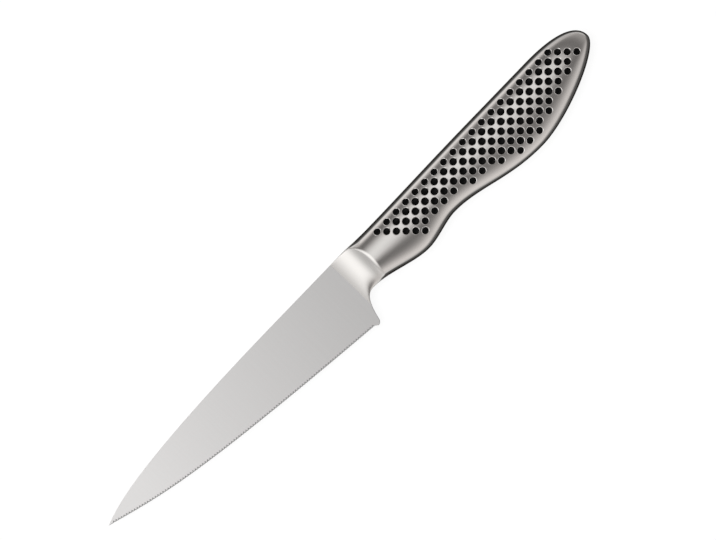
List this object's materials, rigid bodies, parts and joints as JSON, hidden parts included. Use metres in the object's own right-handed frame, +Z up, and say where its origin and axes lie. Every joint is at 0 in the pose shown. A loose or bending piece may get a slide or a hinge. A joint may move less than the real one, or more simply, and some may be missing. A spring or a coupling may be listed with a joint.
{
  "type": "serrated utility knife",
  "caption": "All-steel kitchen utility knife with a fine serrated blade, a hollow-ground solid neck and a sand-filled hollow handle with dimpled flanks.",
  "frame": {"origin": "under the middle of the knife's bounding box, on the surface that it lies on with its right flank down", "axes": "+X along the spine from the tip to the butt, +Y from the cutting edge to the spine, +Z up through the left flank"},
  "size_m": [0.2258, 0.0252, 0.0108],
  "materials": {
    "blade_steel": "satin",
    "neck_steel": "satin",
    "handle_steel": "satin",
    "sand": "matte"
  },
  "bodies": {
    "root": {"blade": "blade_steel", "blade_weld": "blade_steel", "neck_bolster": "neck_steel", "neck_weld": "handle_steel", "handle_shell_left": "handle_steel", "handle_shell_right": "handle_steel", "handle_seam_weld": "handle_steel", "sand_fill": "sand"}
  },
  "joints": []
}
